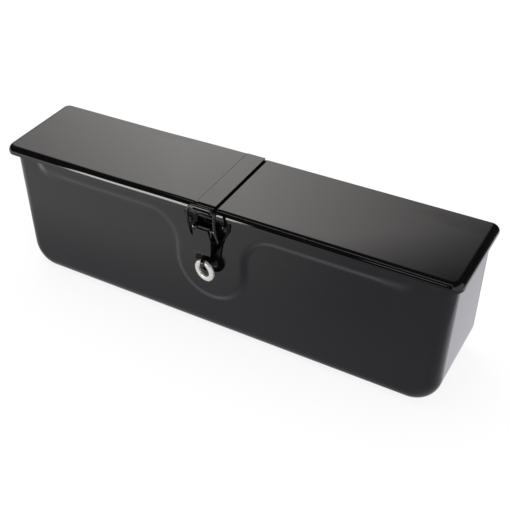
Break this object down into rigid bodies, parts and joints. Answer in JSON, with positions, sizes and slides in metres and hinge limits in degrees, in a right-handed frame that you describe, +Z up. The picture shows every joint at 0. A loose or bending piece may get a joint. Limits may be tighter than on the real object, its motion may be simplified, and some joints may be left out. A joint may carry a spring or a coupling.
{
  "type": "tool box",
  "caption": "Long pressed steel tool box with a lid in two hinged halves, an embossed front, and a wire bail latch with a pull ring.",
  "frame": {"origin": "on the flat bottom, at the middle of the box's length and of its depth at the bottom", "axes": "+X along the length to the right seen from the latch side, +Y from the latch side to the back, +Z up"},
  "size_m": [0.48, 0.1124, 0.1496],
  "materials": {
    "black_paint": "gloss",
    "plating": "bright",
    "pin_steel": "satin"
  },
  "bodies": {
    "box": {"tub": "black_paint", "back_plate": "black_paint", "left_hinge_1_box_leaf": "black_paint", "left_hinge_1_pin": "pin_steel", "left_hinge_2_box_leaf": "black_paint", "left_hinge_2_pin": "pin_steel", "right_hinge_1_box_leaf": "black_paint", "right_hinge_1_pin": "pin_steel", "right_hinge_2_box_leaf": "black_paint", "right_hinge_2_pin": "pin_steel", "hinge_rivet_1": "black_paint", "hinge_rivet_2": "black_paint", "hinge_rivet_3": "black_paint", "hinge_rivet_4": "black_paint", "hinge_rivet_5": "black_paint", "hinge_rivet_6": "black_paint", "hinge_rivet_7": "black_paint", "hinge_rivet_8": "black_paint", "latch_base": "black_paint", "base_rivet_1": "black_paint", "base_rivet_2": "black_paint", "lever_pin": "pin_steel"},
    "right_half": {"right_lid": "black_paint", "right_hinge_1_lid_leaf": "black_paint", "right_hinge_2_lid_leaf": "black_paint"},
    "left_half": {"left_lid": "black_paint", "keeper": "black_paint", "left_hinge_1_lid_leaf": "black_paint", "left_hinge_2_lid_leaf": "black_paint"},
    "latch_lever": {"lever": "black_paint"},
    "latch_bail": {"bail": "black_paint"},
    "ring": {"pull_ring": "plating"}
  },
  "joints": [
    {"name": "right_lid_hinge", "type": "hinge", "parent": "box", "child": "right_half", "pos_m": [0, 0.05195, 0.1382], "axis": [-1, 0, 0], "range_deg": [0, 95]},
    {"name": "left_lid_hinge", "type": "hinge", "parent": "right_half", "child": "left_half", "pos_m": [0, 0.05195, 0.1382], "axis": [-1, 0, 0], "range_deg": [0, 95]},
    {"name": "lever_pivot", "type": "hinge", "parent": "box", "child": "latch_lever", "pos_m": [0.002, -0.04726, 0.12427], "axis": [-1, 0, 0], "range_deg": [0, 120]},
    {"name": "bail_pivot", "type": "hinge", "parent": "latch_lever", "child": "latch_bail", "pos_m": [0.002, -0.04757, 0.11276], "axis": [-1, 0, 0], "range_deg": [-156, 0]},
    {"name": "ring_swing", "type": "hinge", "parent": "latch_lever", "child": "ring", "pos_m": [0.002, -0.05294, 0.08911], "axis": [-1, 0, 0], "range_deg": [-12, 110]}
  ],
  "couplings": [
    {"joint": "bail_pivot", "follows": "lever_pivot", "ratio": -1.3}
  ]
}
